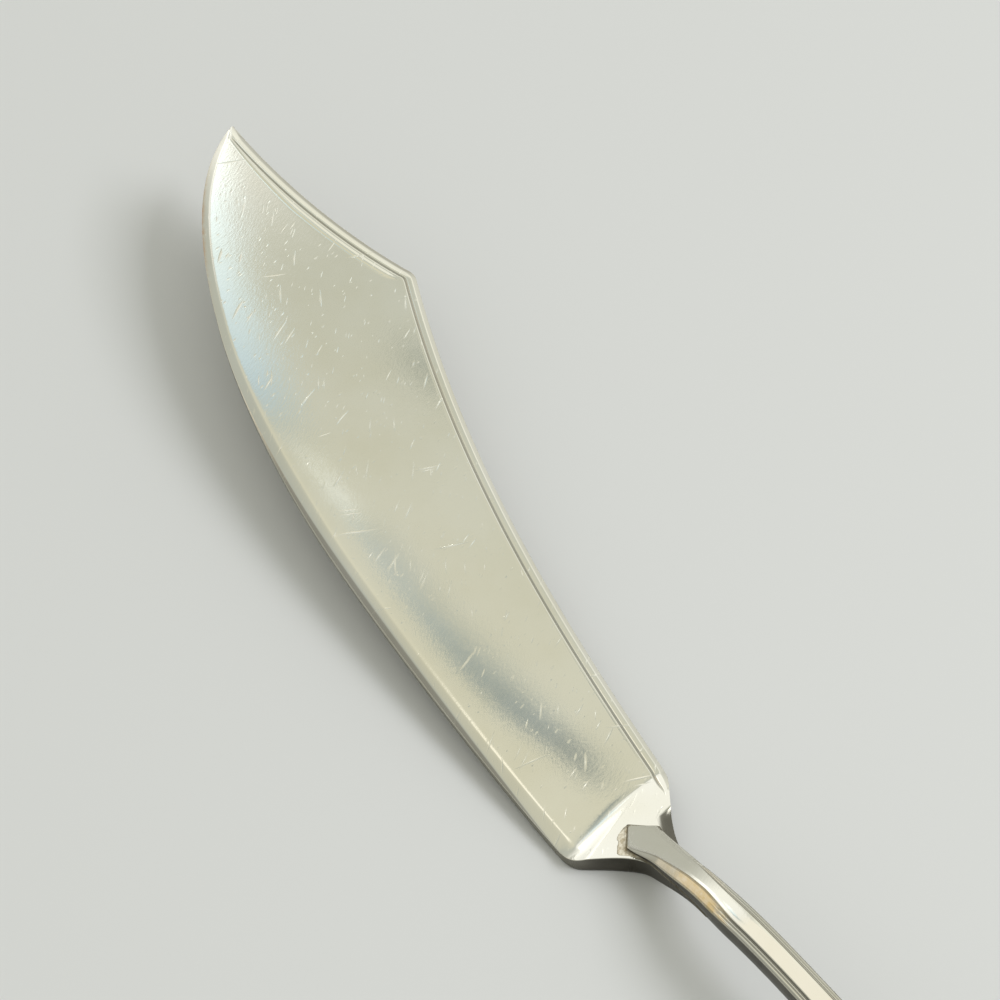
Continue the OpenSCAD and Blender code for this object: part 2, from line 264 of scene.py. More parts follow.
for i in range(tongue_rows + 1):
    e, b = lerp(-lap_len, root_e, i / tongue_rows), lerp(-lap_len, root_b, i / tongue_rows)
    rows.append((Vector((e, half_e(-e))), Vector((b, -half_w(-b)))))
for s, (count, edge_line, back_line) in enumerate(stages):
    for i in range(1, count * FINER + 1):
        t = i / (count * FINER)
        # Rows crowd towards the tip, where the edge turns up to it
        t = 1 - (1 - t) ** 2 if s == len(stages) - 1 else t
        rows.append((bezier(edge_line, t), bezier(back_line, t)))
print(len(rows), "rows from the tongue to the tip")

# %% [markdown]
# ## The blade's heights
#
# The sheet thins from the heel to the tip, and in front of the flat under its heel it is bent up from
# the table. At the heel the face slopes up to the plane that the handle's pad is soldered to. The slope
# is slightly hollow, so that it catches a window as one bright strip.

# %% Heights of the blade
heel_t, tip_t = 1.6, 0.9
lift = math.tan(math.radians(7))
bend_from, bend_to = 1.5, 4.0
bend_mid = (bend_from + bend_to) / 2
ramp_len, ramp_foot, ramp_slant = 1.9, 4.6, 0.385
ramp_ease, ramp_hollow, rise_ease = 0.12, 0.25, 0.04


def bend_z(x):
    if x <= bend_from:
        return 0.0
    if x < bend_to:
        return lift * (x - bend_from) ** 2 / (2 * (bend_to - bend_from))
    return lift * (x - bend_mid)


def blade_top(p):
    """The plain top: the lifted face, and a slope up to the raised heel."""
    q = own(p)
    face = bend_z(q.x) + lerp(heel_t, tip_t, clamp01(q.x / blade_len))
    t = (ramp_foot - ramp_slant * q.y - q.x) / ramp_len
    share = clamp01(soft_positive(t, ramp_ease) - soft_positive(t - 1, ramp_ease))
    # On the back side the lap's plane runs below the face, and the face simply goes on
    rise = soft_positive(lap_z(p.x) - face, rise_ease)
    return face + rise * lerp(share, share * share, ramp_hollow)


def blade_under(p):
    return under_z(-p.x) if p.x < -1 else lift * max(0.0, own(p).x - bend_mid)


print("tip lies", round(blade_under(turned(tip)), 1), "mm above the table")

# %% [markdown]
# ## The blade's section
#
# Silver gives its shape away by what it mirrors, so the section carries more than the solids need: a
# slight crown across the face, a rounded corner on the bevel, an engraved line with raised lips, and a
# low ridge inside the line along the clip. These are between a hundredth and half a millimetre, and
# they are what puts the highlights where they belong. They could be bump in a material, but as real
# shape they also hold from the side.

# %% Sizes across the section
bevel_w, bevel_fall, bevel_round, bevel_from = 1.3, 0.33, 0.11, 0.8
steep_w, steep_drop, steep_round = 0.45, 0.5, 0.12
border_w, border_from, border_tilt, clip_tilt = 1.15, 1.6, 0.03, 0.14
chamfer_w, chamfer_drop = 0.45, 0.2
groove_w, groove_d, lip_h = 0.22, 0.1, 0.012
ridge_h, ridge_place, ridge_width = 0.045, 1.6, 0.22
crown_h = 0.015
scoop_w, scoop_h = 1.1, 0.45
side_relief, edge_relief, tongue_relief = 0.25, 0.12, 0.3
# The second number darkens the underside's colour as painted shade
under_in, under_painted_shade = 0.4, 0.3
# How much of the steep face at the cutting edge there is along the blade
steep_knots = [(1, 0, 0.03), (12, 0.6, 0.05), (26, 1, 0.01), (38, 1, -0.01), (53, 0.4, -0.05), (62, 0.04, 0)]
# Places across the section: in widths of the steep face, across the bevel, past it, and in border widths
steep_stops = (0, 0.3, 0.7, 0.9, 1, 1.1, 1.3)
bevel_stops = (0.25, 0.5, 0.65, 0.76, 0.84, 0.9, 0.95, 1)
past_stops = (0.04, 0.09, 0.15, 0.22, 0.32, 0.5, 0.8)
back_stops = (
    2.3, 2.15, 2.05, 1.96, 1.88, 1.81, 1.74, 1.67, 1.6, 1.53, 1.46, 1.38, 1.3, 1.2, 1.14, 1.09, 1.05,
    1.02, 1.0, 0.98, 0.95, 0.91, 0.86, 0.75, 0.6, 0.48, 0.42, 0.39, 0.36, 0.3, 0.15, 0.05, 0.02, 0,
)
wall_shares = (0.08, 0.3, 0.7, 0.92)
INNER, UNDER = 16, 14
REACH = 50


def inset(i, side, depth):
    """How far in along row i a line lies that keeps its depth from the outline on one side."""
    outside, inside = rows[i][side], rows[i][1 - side]
    outline = [row[side] for row in rows[max(0, i - REACH):i + REACH + 1]]
    low, high = 0.0, 1.0
    for _ in range(14):
        share = (low + high) / 2
        near = min((lerp(outside, inside, share) - q).length for q in outline)
        low, high = (share, high) if near < depth else (low, share)
    return high * (inside - outside).length


middle = len(rows) // 2
print("at the middle row the bevel reaches", round(inset(middle, 0, bevel_w), 2), "mm in")

# %% One ring round the blade


def blade_ring(i):
    """One closed ring of the blade as (point, tarnish, flank, wear)."""
    edge, back = rows[i]
    edge_x, back_x = own(edge).x, own(back).x
    width = (back - edge).length
    # How much there is here of the bevel, the engraved line, the scoop at the shoulder, the crown, the clip
    bevel_on = between(edge_x, bevel_from, 3.2)
    line_on = between(back_x, border_from, 4.6)
    line_deep = line_on * between(width, 2.0, 3.4)
    scoop_on = between(back_x, 0.7, -0.2)
    crown_on = between(own(lerp(edge, back, 0.5)).x, 5, 14)
    clip_on = between(back_x, corner.x - 0.5, corner.x + 1)
    # The bevel narrows towards the tip, and its foot is a steep face that is widest at the belly
    steep_share = max(0.04, curve(steep_knots, edge_x))
    bevel_depth = bevel_w * lerp(1, 0.6, between(edge_x, 45, 66))
    full = inset(i, 0, bevel_depth)
    # It also narrows smoothly into the tip, where the blade is too narrow for it
    room = 0.26 * width
    bevel = (full + room - math.hypot(full - room, 0.4)) / 2
    fall = bevel_fall * bevel_depth / full * bevel
    steep = min(inset(i, 0, steep_w * steep_share), 0.6 * bevel)
    steep_fall = steep_drop * steep_share - fall * steep / bevel
    border = min(inset(i, 1, border_w), 0.55 * width) * lerp(0.3, 1, line_on)
    # Past the bevel and past the engraved line, the steps shrink where the blade is narrow
    past_bevel, past_line = min(bevel, 0.1 * width), min(border, 0.12 * width)
    places = [steep * s for s in steep_stops]
    places += [lerp(steep * steep_stops[-1], bevel, s) for s in bevel_stops]
    places += [bevel + past_bevel * s for s in past_stops]
    back_places = [width - border * min(s, 1) - past_line * max(0, s - 1) for s in back_stops]
    places += [lerp(places[-1], back_places[0], k / (INNER + 1)) for k in range(1, INNER + 1)]
    edge_wear = hump(edge_x - 78, 5)
    # Painted shade: the walls are darkened in colour, fully beside the neck and partly as toning; the steep
    # face at the edge and the scoop at the shoulder are darkened as painted dark reflection
    wall_toning_and_shade = lerp(1, 0.6, between(edge_x, -0.5, 3.5))
    steep_painted_shade = 0.4 * bevel_on * clamp01(2 * steep_share - 0.1)
    scoop_painted_shade = 0.88 * between(scoop_on, 0, 0.25)
    ring = []
    for a in places + back_places:
        p = lerp(edge, back, a / width)
        q = a / bevel if a < bevel else 1 + (a - bevel) / past_bevel
        to_back = width - a
        r = to_back / border if to_back < border else 1 + (to_back - border) / past_line
        groove = line_deep * hump(r - 1, 0.4 * groove_w / border_w)
        drop = bevel_on * fall * soft_positive(1 - q, bevel_round)
        drop += bevel_on * steep_fall * soft_positive(1 - a / steep, steep_round)
        drop += line_on * chamfer_drop * soft_positive(1 - r * border_w / chamfer_w, 0.12)
        drop += line_on * lerp(border_tilt, clip_tilt, clip_on) * soft_positive(1 - r, 0.05)
        drop += groove_d * groove - line_deep * lip_h * hump(r - 1.2, 0.06)
        drop -= ridge_h * clip_on * line_deep * hump(r - ridge_place, ridge_width)
        drop += scoop_h * scoop_on * soft_positive(1 - to_back / scoop_w, 0.15)
        rise = crown_h * crown_on * (1 - (2 * a / width - 1) ** 2)
        # Painted shade and painted dark reflection on the scoop and the steep face
        shade_and_tone = max(scoop_painted_shade * between(to_back, 1.5 * scoop_w, 1.5 * scoop_w - 0.5),
                    steep_painted_shade * between(a / steep, 1.15, 0.85))
        point = Vector((p.x, p.y, blade_top(p) - drop + rise))
        ring.append((point, 0.5 * groove, shade_and_tone, edge_wear * max(0, 1 - a / 0.35)))
    # Beside the neck, the tongue's lower corners are filed off like the handle's
    filed = between(edge.x, -1, -7)
    top_edge, top_back = ring[0][0], ring[-1][0]
    low_edge = Vector((edge.x, edge.y, blade_under(edge) + lerp(edge_relief, tongue_relief, filed)))
    low_back = Vector((back.x, back.y, blade_under(back) + lerp(side_relief, tongue_relief, filed)))
    # The walls and the underside carry painted shade
    ring += [(lerp(top_back, low_back, s), 0.0, wall_toning_and_shade, 0.0) for s in wall_shares]
    ring.append((low_back, 0.0, wall_toning_and_shade, 0.0))
    for k in range(UNDER + 1):
        p = lerp(edge, back, lerp(1 - under_in / border_w * border / width, bevel / width, k / UNDER))
        ring.append((Vector((p.x, p.y, blade_under(p))), 0.0, under_painted_shade, 0.0))
    ring.append((low_edge, 0.0, wall_toning_and_shade, 0.0))
    ring += [(lerp(low_edge, top_edge, s), 0.0, wall_toning_and_shade, edge_wear) for s in wall_shares]
    return ring


print("a ring has", len(blade_ring(middle)), "points")

# %% [markdown]
# ## From rings to a mesh
#
# A loft joins each ring of points to the next with quads and closes both ends. Each point also
# carries three marks that the finishes read: tarnish lies in lines and seams, toning_and_shade is
# painted shade and painted dark reflection on the sides and undersides, with some real toning where a
# polishing cloth misses, and wear is where the silver has rubbed thin. Marks on points follow the shape
# exactly, which a pattern in space could not.

# %% Loft and assembly helpers
MARKS = ("tarnish", "toning_and_shade", "wear")


def loft(name, rings):
    """A closed mesh over rings of (point, marks) that all have the same count."""
    n = len(rings[0])
    points = [entry for ring in rings for entry in ring]
    offset = knife_mid.to_3d()
    faces = [[i * n + j, i * n + (j + 1) % n, (i + 1) * n + (j + 1) % n, (i + 1) * n + j]
             for i in range(len(rings) - 1) for j in range(n)]
    faces += [list(range(n))[::-1], [(len(rings) - 1) * n + j for j in range(n)]]
    mesh = bpy.data.meshes.new(name)
    mesh.from_pydata([(entry[0] - offset) * MM for entry in points], [], faces)
    for k, mark in enumerate(MARKS):
        layer = mesh.attributes.new(mark, "FLOAT", "POINT")
        layer.data.foreach_set("value", [entry[1 + k] for entry in points])
    mesh.polygons.foreach_set("use_smooth", [True] * len(mesh.polygons))
    piece = bpy.data.objects.new(name, mesh)
    bpy.context.scene.collection.objects.link(piece)
    print(name, len(mesh.vertices), "points,", len(mesh.polygons), "faces")
    return piece


def assemble(piece, node):
    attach(piece, "root")
    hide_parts(node)


# %% Blade
blade = loft("stamped_blade", [blade_ring(i) for i in range(len(rows) - 1, -1, -1)])
assemble(blade, "blade")

# %% [markdown]
# ## The handle
#
# At the heel the handle ends in a pointed pad with broad chamfers, which turn into two threads along
# each edge further back. Its ring is drawn as corners, and each corner is then eased by a small radius,
# as years of polishing have done. A bevel modifier could ease them too, but its clamp would hold every
# corner to what the finest step allows.

# %% Rings of the handle
thread_d, shank_relief, corner_radius = 0.14, 0.35, 0.1
# Width of the top chamfer on each side, up to where the threads begin
chamfer_e_knots = [
    (-pad_tip_x, 0.04, 0), (1, 0.12, 0.15), (4, 0.55, 0.1), (8, 0.88, 0.02), (14, thread_w, 0),
]
chamfer_b_knots = [(-pad_tip_x, 0.04, 0.03), (7.5, 0.5, 0.07), (12, thread_w, 0)]
thread_from_e, thread_from_b = 10, 4.5


def eased(ring, radius):
    """Each corner of a closed ring becomes three points round a small radius."""
    result = []
    for k, entry in enumerate(ring):
        p = entry[0]
        before, after = ring[k - 1][0] - p, ring[(k + 1) % len(ring)][0] - p
        a = p + before * min(0.35, radius / max(before.length, 1e-6))
        b = p + after * min(0.35, radius / max(after.length, 1e-6))
        result += [(q,) + entry[1:] for q in (a, (a + b + 2 * p) / 4, b)]
    return result


def crown_share(d):
    """The pad's top is filed flat, and the shank's is slightly crowned."""
    return 0.03 * between(d, 5, 12)


def handle_side(d, w, floor_z, relief, chamfer_knots, thread_from, sign):
    """One side of the section, from the middle underneath to the middle on top."""
    z = top_z(d)
    on = between(d, thread_from, thread_from + 4)
    band = min(curve(chamfer_knots, d), 0.74 * w)
    fall = min(lerp(0.8, 0.35, on), 0.55 * (z - floor_z), band)
    line = thread_d * on * clamp01(w / 2)
    crown = crown_share(d) * w
    # The edge side is dirtier in its lines, rubbed on its filed chamfer, and dull at the corner above it.
    # The chamfers' outer parts are darkened as painted shade with some toning, more on the back side
    dirt, dull, shade_and_tone = (0.75, 0.55, 0.2) if sign > 0 else (0.45, 0.25, 0.5)
    dirt, dull = dirt * on, dull * (1 - on)
    rubbed = between(d, 1, 11) * between(d, 15, 11) * (sign > 0)
    # Share of the band from the outer edge, depth below a plain chamfer, tarnish
    steps = [(0, 0, 0.2), (0.28, -0.6 * line, 0), (0.44, 0.8 * line, 0.6 * dirt), (0.58, -0.5 * line, 0),
             (0.74, line, dirt), (0.9, line, max(dirt, 0.6 * dull)), (1, 0, dull)]
    wall_top = z - fall
    flat = max(0.7 * w, w - 0.7)
    # The sides and underside of the neck are darkened as painted shade, with some toning where a cloth
    # misses, and those of the broad end less
    side_toning_and_shade = lerp(1, 0.55, between(d, 22, 52))
    side = [(0.35 * w, floor_z, 0, 0.6 * side_toning_and_shade, 0), (flat, floor_z, 0, 0.8 * side_toning_and_shade, 0)]
    side += [(w, lerp(floor_z + relief, wall_top, share), 0, side_toning_and_shade, 0) for share in (0, 0.5, 0.85)]
    side += [(w - s * band, z - fall * (1 - s) - deep, stain, shade_and_tone * (1 - s) ** 2, rubbed)
             for s, deep, stain in steps]
    tops = ((0.95, 0.8 * dull), (0.8, 0.3 * dull), (0.6, 0), (0.35, 0))
    side += [(share * (w - band), z + crown * (1 - share * share), stain, 0, 0) for share, stain in tops]
    return [(Vector((-d, sign * y, h)), stain, toning_and_shade, worn) for y, h, stain, toning_and_shade, worn in side]


def handle_ring(d, floor_z, relief):
    ring = handle_side(d, half_e(d), floor_z, relief, chamfer_e_knots, thread_from_e, 1)
    ring.append((Vector((-d, 0, top_z(d) + crown_share(d) * half_w(d))), 0.0, 0.0, 0.0))
    ring += handle_side(d, half_w(d), floor_z, relief, chamfer_b_knots, thread_from_b, -1)[::-1]
    # Painted shade under the middle of the handle
    ring.append((Vector((-d, 0, floor_z)), 0.0, 0.6, 0.0))
    return eased(ring, corner_radius)


# %% Handle
STEP = 0.02
lap_d = lap_len + solder_t
pad_places = [lerp(-pad_tip_x, -pad_full_x, i / 16) for i in range(17)]
lap_places = [lerp(-pad_full_x, lap_d, i / 50) for i in range(1, 51)]
shank_places = [lerp(lap_d + STEP, round_end, i / 140) for i in range(141)]
tail_places = [lerp(round_end, handle_len, math.sin(math.pi / 2 * i / 40)) for i in range(1, 41)]
rings = [handle_ring(d, lap_z(-d) + solder_t, STEP) for d in pad_places + lap_places]
rings += [handle_ring(d, under_z(d), shank_relief) for d in shank_places + tail_places]
handle = loft("struck_handle", rings)
assemble(handle, "handle")

# %% [markdown]
# ## The solder
#
# Solder runs into the joint by itself and leaves a small hollow fillet round the pad. On the edge side
# it has run further, in a thin ragged smear over the heel. The film under the pad is hidden, but it is
# made too, because it is what holds the knife together. A loft along the joint makes all three at once.

# %% Rings of the solder
fillet_w, fillet_h, fillet_grow = 0.3, 0.25, 3.0
solder_proud, solder_tip = 0.03, 0.05
smear_w, smear_h = 0.9, 0.04
# Shares of the fillet's reach with the tarnish there, from outside in on the edge side, and back out
edge_steps = ((1, 0.1), (0.94, 0.1), (0.8, 0.1), (0.62, 0.1), (0.45, 0.1), (0.3, 0.4), (0.18, 0.1),
              (0.08, 0.7), (0, 0.9))
back_steps = ((0, 0.9), (0.3, 0.3), (0.6, 0.3), (1, 0.3))


def lump(x, y, size):
    """Uneven height between -1 and 1, with bumps of about that size."""
    return noise.noise(Vector((x / size, y / size, 3.7)))


def edge_outline_y(x):
    """The blade's outline on the edge side, behind the heel."""
    past = [r[0] for r in rows if r[0].x <= x]
    return past[-1].y if past else half_e(-x)


def solder_ring(x, edge, back, reach, rise):
    floor_z = lap_z(x)
    smear_on = between(x, -1.8, -0.2) * between(x, 1.5, 1.0)
    room = max(0.0, edge_outline_y(x) - edge - reach - 0.25)
    spread = reach + min(room, smear_w * smear_on * (1 + 0.35 * lump(x, 0, 0.5)))
    ring = []
    for s, stain in edge_steps:
        y = edge + spread * s
        height = solder_t + rise if s == 0 else rise * max(0, 1 - s * spread / reach) ** 2
        height += smear_h * smear_on * (1 - s * s) * (0.75 + 0.6 * lump(x, y, 0.35)) * (s > 0)
        # Beside the neck, the edge of the film is as dark as the flanks
        stain = max(stain, between(x, -1.2, -2.7))
        ring.append((Vector((x, y, floor_z + max(0.0, height))), stain, 0.0, 0.0))
    ring.append((Vector((x, 0, floor_z + solder_t)), 0.5, 0.0, 0.0))
    for s, stain in back_steps:
        height = solder_t + rise if s == 0 else rise * (1 - s) ** 2
        ring.append((Vector((x, -back - reach * s, floor_z + height)), stain, 0.0, 0.0))
    ring.append((Vector((x, 0, floor_z)), 0.5, 0.0, 0.0))
    return ring


# %% Solder joint
solder_places = [lerp(pad_tip_x, pad_full_x, i / 24) for i in range(25)]
solder_places += [lerp(pad_full_x, -lap_len, i / 90) for i in range(1, 91)]
rings = [solder_ring(pad_tip_x + fillet_w, solder_tip, solder_tip, 2 * solder_tip, 0.0)]
rings += [solder_ring(pad_tip_x + STEP, pad_tip_half, pad_tip_half, fillet_w, solder_proud)]
for x in solder_places:
    # The fillet grows with the pad's side, and is only a film's edge beside the neck
    near = clamp01((x - root_e) / (pad_full_x - root_e))
    rise = lerp(solder_proud, fillet_h, near * clamp01((pad_tip_x - x) / fillet_grow))
    rings.append(solder_ring(x, half_e(-x), half_w(-x), lerp(solder_proud, fillet_w, near), rise))
solder = loft("solder_joint_run", rings)
assemble(solder, "solder_joint")

# %% [markdown]
# ## Finishes
#
# A finish is a small graph of nodes. One function adds a node with its fields, and either links an
# input or sets it. Colours are written as sRGB hex values, as a picker shows them, and one function
# makes them linear. Patterns are scaled in millimetres.

# %% Node and colour helpers


def linear(hex_colour):
    parts = [int(hex_colour[i:i + 2], 16) / 255 for i in (1, 3, 5)]
    return tuple(c / 12.92 if c <= 0.04045 else ((c + 0.055) / 1.055) ** 2.4 for c in parts) + (1.0,)


def add(tree, kind, inputs=None, **fields):
    """Adds one node. An input is a socket to link from, or a plain value."""
    made = tree.nodes.new("ShaderNode" + kind)
    for key, value in fields.items():
        setattr(made, key, value)
    for key, value in (inputs or {}).items():
        if isinstance(value, bpy.types.NodeSocket):
            tree.links.new(value, made.inputs[key])
        else:
            made.inputs[key].default_value = value
    return made


def shade_stops(ramp, *stops):
    """Gives a colour ramp its stops of (position, hex)."""
    elements = ramp.color_ramp.elements
    for k, (position, hex_colour) in enumerate(stops):
        element = elements[k] if k < len(elements) else elements.new(position)
        element.position = position
        element.color = linear(hex_colour)


def new_material(name):
    material = bpy.data.materials.new(name)
    material.use_nodes = True
    material.node_tree.nodes.clear()
    return material, material.node_tree


def place_in_mm(tree):
    """Where a point lies on the piece, in millimetres."""
    where = add(tree, "TexCoord").outputs["Object"]
    return add(tree, "VectorMath", {0: where, "Scale": 1 / MM}, operation="SCALE").outputs[0]


# %% [markdown]
# ### Worn silver plate
#
# Silver plate on nickel silver is bright, a little warm, and hazy from long use: most of the haze is
# fine scratches across the blade, with short bright nicks and a few pits. The mirror is kept
# fairly sharp, and its grain comes from bump. Tarnish stays in the engraved line and along the threads.
# Where the coat is rubbed thin, the yellower metal shows. One high roughness would blur the mirror
# evenly, and it would look like satin steel.

# %% Colour of worn silver plate
# Widths of the clouds of haze, the worn patches and the blotches in the painted shade and toning, in mm
HAZE_MM, PATCH_MM, BLOTCH_MM = 14, 1.11, 2.86


def plate_colour(tree, place, marks, worn_hex):
    """Hazy silver under worn patches, sides darkened by painted shade and some toning, and nearly black
    lines.
    """
    cloud = add(tree, "TexNoise", {"Vector": place, "Scale": 1 / HAZE_MM, "Detail": 4.0, "Roughness": 0.6})
    tone = add(tree, "ValToRGB", {0: cloud.outputs[0]})
    shade_stops(tone, (0.35, "#e3dfcd"), (0.65, "#e9e6d8"))
    # Thin silver lets the yellower metal through in ragged patches
    patch = add(tree, "TexNoise", {"Vector": place, "Scale": 1 / PATCH_MM, "Detail": 6.0, "Roughness": 0.65})
    worn = add(tree, "MapRange", {0: patch.outputs[0], 1: 0.3, 2: 0.6})
    worn = add(tree, "Math", {0: worn.outputs[0], 1: marks["wear"]}, operation="MULTIPLY")
    blotch = add(tree, "TexNoise", {"Vector": place, "Scale": 1 / BLOTCH_MM, "Detail": 5.0})
    toning_and_shade = add(tree, "MapRange", {0: blotch.outputs[0], 1: 0.25, 2: 0.65, 3: 0.9, 4: 0.97})
    toning_and_shade = add(tree, "Math", {0: toning_and_shade.outputs[0], 1: marks["toning_and_shade"]}, operation="MULTIPLY")
    colour = tone.outputs[0]
    # The second layer is painted shade and painted dark reflection on the sides and undersides, with some
    # real toning; the last is tarnish in the lines
    layers = ((worn.outputs[0], worn_hex), (toning_and_shade.outputs[0], "#302b1e"), (marks["tarnish"], "#3a382f"))
    for share, layer_hex in layers:
        mixed = add(tree, "Mix", {"Factor": share, "A": colour, "B": linear(layer_hex)}, data_type="RGBA")
        colour = mixed.outputs["Result"]
    return colour


# %% Scratches of worn silver plate
# Real scratches are a few hundredths of a millimetre wide. These are wider, so that they show.
# Direction in the knife's plan in degrees, stroke spacing along and across in mm, share kept, strength
nick_sets = [
    (-64, 6.0, 0.5, 0.12, 0.9), (69, 9.0, 0.5, 0.04, 0.9), (-38, 5.0, 0.45, 0.06, 0.9),
    (-75, 1.3, 0.5, 0.16, 0.45), (-50, 2.2, 0.35, 0.12, 0.6),
]
GRAIN_ANGLE, GRAIN_ALONG_MM, GRAIN_ACROSS_MM = -64, 0.6, 0.2
# Strokes bend from their direction by some millimetres over this length
DRIFT_MM, DRIFT_BY_MM = 10, 3.0
PIT_SPACING_MM = 2.22


def nicks(tree, place, angle, along, across, kept, strength):
    """Mask of short strokes: one in each stretched cell, of which only some are kept."""
    spot = add(tree, "Mapping", {
        "Vector": place, "Rotation": (0, 0, math.radians(angle)), "Scale": (along, across, 1.0)},
        vector_type="TEXTURE")
    cell = add(tree, "TexVoronoi", {"Vector": spot.outputs[0], "Scale": 1.0}, voronoi_dimensions="2D")
    pick = add(tree, "SeparateColor", {0: cell.outputs["Color"]})
    keep = add(tree, "Math", {0: pick.outputs[0], 1: 1 - kept}, operation="GREATER_THAN")
    size = add(tree, "MapRange", {0: pick.outputs[1], 3: 0.08, 4: 0.26})
    line = add(tree, "MapRange", {
        0: cell.outputs["Distance"], 1: 0.0, 2: size.outputs[0], 3: strength, 4: 0.0})
    return add(tree, "Math", {0: line.outputs[0], 1: keep.outputs[0]}, operation="MULTIPLY").outputs[0]


def plate_scratches(tree, place, nick_amount):
    """How much there is of nicks, of fine grain and of pits."""
    drift = add(tree, "TexNoise", {"Vector": place, "Scale": 1 / DRIFT_MM, "Detail": 1.0})
    drift = add(tree, "VectorMath", {0: drift.outputs["Color"], "Scale": DRIFT_BY_MM}, operation="SCALE")
    wander = add(tree, "VectorMath", {0: place, 1: drift.outputs[0]}, operation="ADD").outputs[0]
    nick = 0.0
    for nick_set in nick_sets:
        stroke = nicks(tree, wander, *nick_set)
        nick = add(tree, "Math", {0: stroke, 1: nick}, operation="MAXIMUM").outputs[0]
    nick = add(tree, "Math", {0: nick, 1: nick_amount}, operation="MULTIPLY").outputs[0]
    grain_place = add(tree, "Mapping", {
        "Vector": wander, "Rotation": (0, 0, math.radians(GRAIN_ANGLE)),
        "Scale": (GRAIN_ALONG_MM, GRAIN_ACROSS_MM, 1.0)}, vector_type="TEXTURE")
    grain = add(tree, "TexNoise", {
        "Vector": grain_place.outputs[0], "Scale": 1.0, "Detail": 5.0, "Roughness": 0.65})
    cell = add(tree, "TexVoronoi", {"Vector": place, "Scale": 1 / PIT_SPACING_MM})
    pit = add(tree, "MapRange", {0: cell.outputs["Distance"], 1: 0.0, 2: 0.06, 3: 1.0, 4: 0.0})
    return nick, grain.outputs[0], pit.outputs[0]


# %% Worn silver plate
MIRROR_ROUGH, NICK_ROUGH = 0.04, 0.4
NICK_DEEP_MM, PIT_DEEP_MM, GRAIN_DEEP_MM = 0.012, 0.01, 0.004


def silver_plate(name, worn_hex, nick_amount):
    material, tree = new_material(name)
    place = place_in_mm(tree)
    marks = {mark: add(tree, "Attribute", attribute_name=mark).outputs["Fac"] for mark in MARKS}
    nick, grain, pit = plate_scratches(tree, place, nick_amount)
    rough = add(tree, "MapRange", {0: grain, 1: 0.3, 2: 0.75, 3: MIRROR_ROUGH, 4: 2 * MIRROR_ROUGH})
    rough = add(tree, "Mix", {"Factor": nick, "A": rough.outputs[0], "B": NICK_ROUGH}, data_type="FLOAT")
    rough = add(tree, "Math", {0: marks["tarnish"], 1: 0.6, 2: rough.outputs[0]}, operation="MULTIPLY_ADD")
    rough = add(tree, "Math", {0: marks["toning_and_shade"], 1: 0.2, 2: rough.outputs[0]}, operation="MULTIPLY_ADD")
    height = 0.0
    for share, rise in ((nick, -NICK_DEEP_MM), (pit, -PIT_DEEP_MM), (grain, GRAIN_DEEP_MM)):
        height = add(tree, "Math", {0: share, 1: rise, 2: height}, operation="MULTIPLY_ADD").outputs[0]
    bump = add(tree, "Bump", {"Height": height, "Strength": 1.0, "Distance": MM})
    shader = add(tree, "BsdfPrincipled", {
        "Base Color": plate_colour(tree, place, marks, worn_hex), "Metallic": 1.0,
        "Roughness": rough.outputs[0], "Normal": bump.outputs[0]})
    add(tree, "OutputMaterial", {"Surface": shader.outputs[0]})
    print(name, len(tree.nodes), "nodes")
    return material


blade.data.materials.append(silver_plate("worn_silver_plate_blade", "#d8b08a", 1.0))
handle.data.materials.append(silver_plate("worn_silver_plate_handle", "#dcca9c", 0.2))

# %% [markdown]
# ### Tarnished silver solder
#
# Silver solder freezes with a skin that is duller and greyer than the plate, pitted where flux boiled,
# and dark where it meets the pieces on each side. One noise gives both its tone and its pits, because
# the dirt lies in the hollows.

# %% Tarnished silver solder
SKIN_MM, SKIN_DEEP_MM = 0.455, 0.03
material, tree = new_material("tarnished_silver_solder")
place = place_in_mm(tree)
rim = add(tree, "Attribute", attribute_name="tarnish").outputs["Fac"]
skin = add(tree, "TexNoise", {"Vector": place, "Scale": 1 / SKIN_MM, "Detail": 6.0, "Roughness": 0.7})
tone = add(tree, "ValToRGB", {0: skin.outputs[0]})
shade_stops(tone, (0.38, "#b0a386"), (0.62, "#e4dcc6"))
dirt = add(tree, "Math", {0: rim, 1: 0.8}, operation="MULTIPLY")
colour = add(tree, "Mix", {
    "Factor": dirt.outputs[0], "A": tone.outputs[0], "B": linear("#37342a")}, data_type="RGBA")
bump = add(tree, "Bump", {"Height": skin.outputs[0], "Strength": 1.0, "Distance": SKIN_DEEP_MM * MM})
shader = add(tree, "BsdfPrincipled", {
    "Base Color": colour.outputs["Result"], "Metallic": 1.0, "Roughness": 0.28, "Normal": bump.outputs[0]})
add(tree, "OutputMaterial", {"Surface": shader.outputs[0]})
solder.data.materials.append(material)
print("finishes:", [m.name for m in bpy.data.materials if m.users])

# %% [markdown]
# ## The camera
#
# The view is the photograph's: close above the blade, looking down along it from the side of the
# cutting edge. The lens follows from the focal length in pixels over a square picture of 1000 pixels.

# %% Camera
FRAME_PX, FOCAL_PX = 1000, 2634
SENSOR = 36.0
eye = Vector((-69.7, 83.9, 218.2)) * MM
heading, dip = math.radians(-38.4), math.radians(56)
look = Vector((math.cos(dip) * math.cos(heading), math.cos(dip) * math.sin(heading), -math.sin(dip)))
camera_data = bpy.data.cameras.new("camera")
camera_data.sensor_width = SENSOR
camera_data.lens = SENSOR * FOCAL_PX / FRAME_PX
camera_data.clip_start = 0.01
camera = bpy.data.objects.new("camera", camera_data)
camera.location = eye
camera.rotation_mode = "QUATERNION"
camera.rotation_quaternion = look.to_track_quat("-Z", "Y")
bpy.context.scene.collection.objects.link(camera)
bpy.context.scene.camera = camera
print("lens", round(camera_data.lens, 1), "mm")

